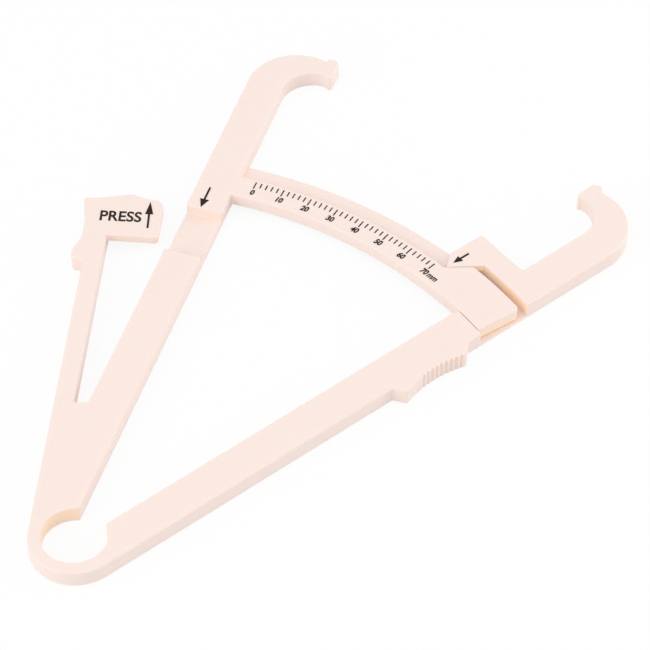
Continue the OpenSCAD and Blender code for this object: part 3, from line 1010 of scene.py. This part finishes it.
slice_across(lever_root, LEVER, FLEX_START, FLEX_END, ROOT_SLICES)
for part in (spring, lever_root, fixed_side, moving_side, lever):
    finish_part(part, plastic)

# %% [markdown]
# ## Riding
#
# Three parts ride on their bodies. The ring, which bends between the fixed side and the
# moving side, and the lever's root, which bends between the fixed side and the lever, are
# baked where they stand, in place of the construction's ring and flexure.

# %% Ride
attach(fixed_side, "fixed_side")
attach(moving_side, "moving_side")
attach(lever, "press_lever")
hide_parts("root_web", "fixed_arm", "fixed_jaw", "fixed_jaw_pad", "scale_bar")
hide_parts("moving_arm", "guide_floor", "jaw_arm", "index_tab", "index_pointer",
            "moving_jaw", "moving_jaw_pad", "finger_grip")
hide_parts("lever_beam", "thumb_rest", "lever_head")

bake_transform(spring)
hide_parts("spring_ring")
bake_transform(lever_root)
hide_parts("lever_flexure")
print("the lever's root bends over", round(FLEX_END - FLEX_START, 1), "mm")

# %% [markdown]
# ## Marks and arrows
#
# The marks and the arrows are flat solids in the construction, at their true size and
# place, so they only need the ink.

# %% Ink the marks and the arrows
for node in ("scale_marks", "fixed_arrow", "index_arrow", "press_arrow"):
    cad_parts[node].data.materials.clear()
    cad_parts[node].data.materials.append(ink)
    print("inked", node)

# %% [markdown]
# ## Numbers
#
# The scale counts in tens, in a slanted bold face. Blender's own font is upright, so a
# shear slants it and an offset fattens it. Each number becomes a mesh, which is stretched
# to its height and width on the caliper.

# %% Lettering as a mesh
INK_TOP = 0.05
NARROW = 0.86


def printed(name, words, height, width=None, slant=0.0, weight=0.0, align="CENTER"):
    """Flat lettering as a mesh in millimetres, with its foot on the X axis.

    Without a width the letters are only a little narrower than the font draws them."""
    curve = bpy.data.curves.new(name, "FONT")
    curve.body = words
    curve.align_x = align
    curve.shear = slant
    curve.offset = weight
    curve.resolution_u = 6
    curve.extrude = 0.02
    text = bpy.data.objects.new(name + "_curve", curve)
    bpy.context.scene.collection.objects.link(text)
    bpy.context.view_layer.update()
    flat = text.evaluated_get(bpy.context.evaluated_depsgraph_get())
    mesh = bpy.data.meshes.new_from_object(flat)
    bpy.data.objects.remove(text)
    xs = [v.co.x for v in mesh.vertices]
    ys = [v.co.y for v in mesh.vertices]
    tall = height / (max(ys) - min(ys))
    wide = tall * NARROW if width is None else width / (max(xs) - min(xs))
    thick = INK_TOP / (2 * curve.extrude)
    foot = Matrix.Translation((0, -min(ys), curve.extrude))
    mesh.transform(Matrix.Diagonal((wide, tall, thick, 1)) @ foot)
    return mesh


def place_print(mesh, own_frame, x, y):
    mesh.transform(own_frame @ Matrix.Translation((x, y, THICKNESS)))


# %% [markdown]
# The scale reads the opening of the jaws, which is the chord of their turn where the pads
# meet, and its marks share that turn out evenly. Each number stands under its mark, and
# the row drifts a little to the left from 0 on. The last number stands further right
# again, and the unit follows it in smaller letters.

# %% Numbers
SCALE_MAX, SCALE_STEP = 70, 10
CONTACT_R = 158.4
ZERO_ANGLE = math.radians(ZERO_MARK)
ANGLE_PER_MM = 2 * math.asin(SCALE_MAX / 2 / CONTACT_R) / SCALE_MAX
MARK_OUTER_R, LONG_MARK, MARK_GAP = 115.1, 2.2, 0.4
NUMBER_H, NUMBER_SLANT, NUMBER_WEIGHT = 1.75, 0.15, 0.038
NUMBER_FOOT_R = MARK_OUTER_R - LONG_MARK - MARK_GAP - NUMBER_H
FIRST_SHIFT, NUMBER_DRIFT, LAST_SHIFT = 0.12, 0.0105, -0.1
UNIT_H, UNIT_WIDTH, UNIT_WEIGHT, UNIT_LEFT = 0.68 * NUMBER_H, 2.85, 0.025, 1.15

numbers_bm = bmesh.new()
for reading in range(0, SCALE_MAX + 1, SCALE_STEP):
    mesh = printed("number", str(reading), NUMBER_H, slant=NUMBER_SLANT, weight=NUMBER_WEIGHT)
    turn = Matrix.Rotation(ZERO_ANGLE - reading * ANGLE_PER_MM, 4, "Z")
    shift = FIRST_SHIFT - reading * NUMBER_DRIFT if reading < SCALE_MAX else LAST_SHIFT
    place_print(mesh, turn, shift, NUMBER_FOOT_R)
    numbers_bm.from_mesh(mesh)
unit = printed("unit", "mm", UNIT_H, width=UNIT_WIDTH, slant=NUMBER_SLANT, weight=UNIT_WEIGHT,
               align="LEFT")
place_print(unit, turn, UNIT_LEFT, NUMBER_FOOT_R)
numbers_bm.from_mesh(unit)
numbers = new_object("scale_numbers_print", numbers_bm)
print("numbers", len(numbers.data.polygons), "faces")

# %% [markdown]
# ## The word on the lever
#
# The head of the lever says what to do with it, in upright bold capitals beside its
# arrow.

# %% Word on the lever
WORD_LEFT, WORD_RIGHT = -8.3, 1.8
WORD_FOOT, WORD_H, WORD_WEIGHT = 95.5, 3.4, 0.018
WORD_TURN = math.radians(1.5)

word_bm = bmesh.new()
word_mesh = printed("word", "PRESS", WORD_H, width=WORD_RIGHT - WORD_LEFT, weight=WORD_WEIGHT)
word_mesh.transform(Matrix.Rotation(WORD_TURN, 4, "Z"))
place_print(word_mesh, LEVER, (WORD_LEFT + WORD_RIGHT) / 2, WORD_FOOT)
word_bm.from_mesh(word_mesh)
word = new_object("lever_word_print", word_bm)

for piece, body in ((numbers, "fixed_side"), (word, "press_lever")):
    piece.data.transform(Matrix.Scale(MM, 4))
    piece.data.materials.append(ink)
    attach(piece, body)
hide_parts("scale_numbers")
print("word", len(word.data.polygons), "faces")
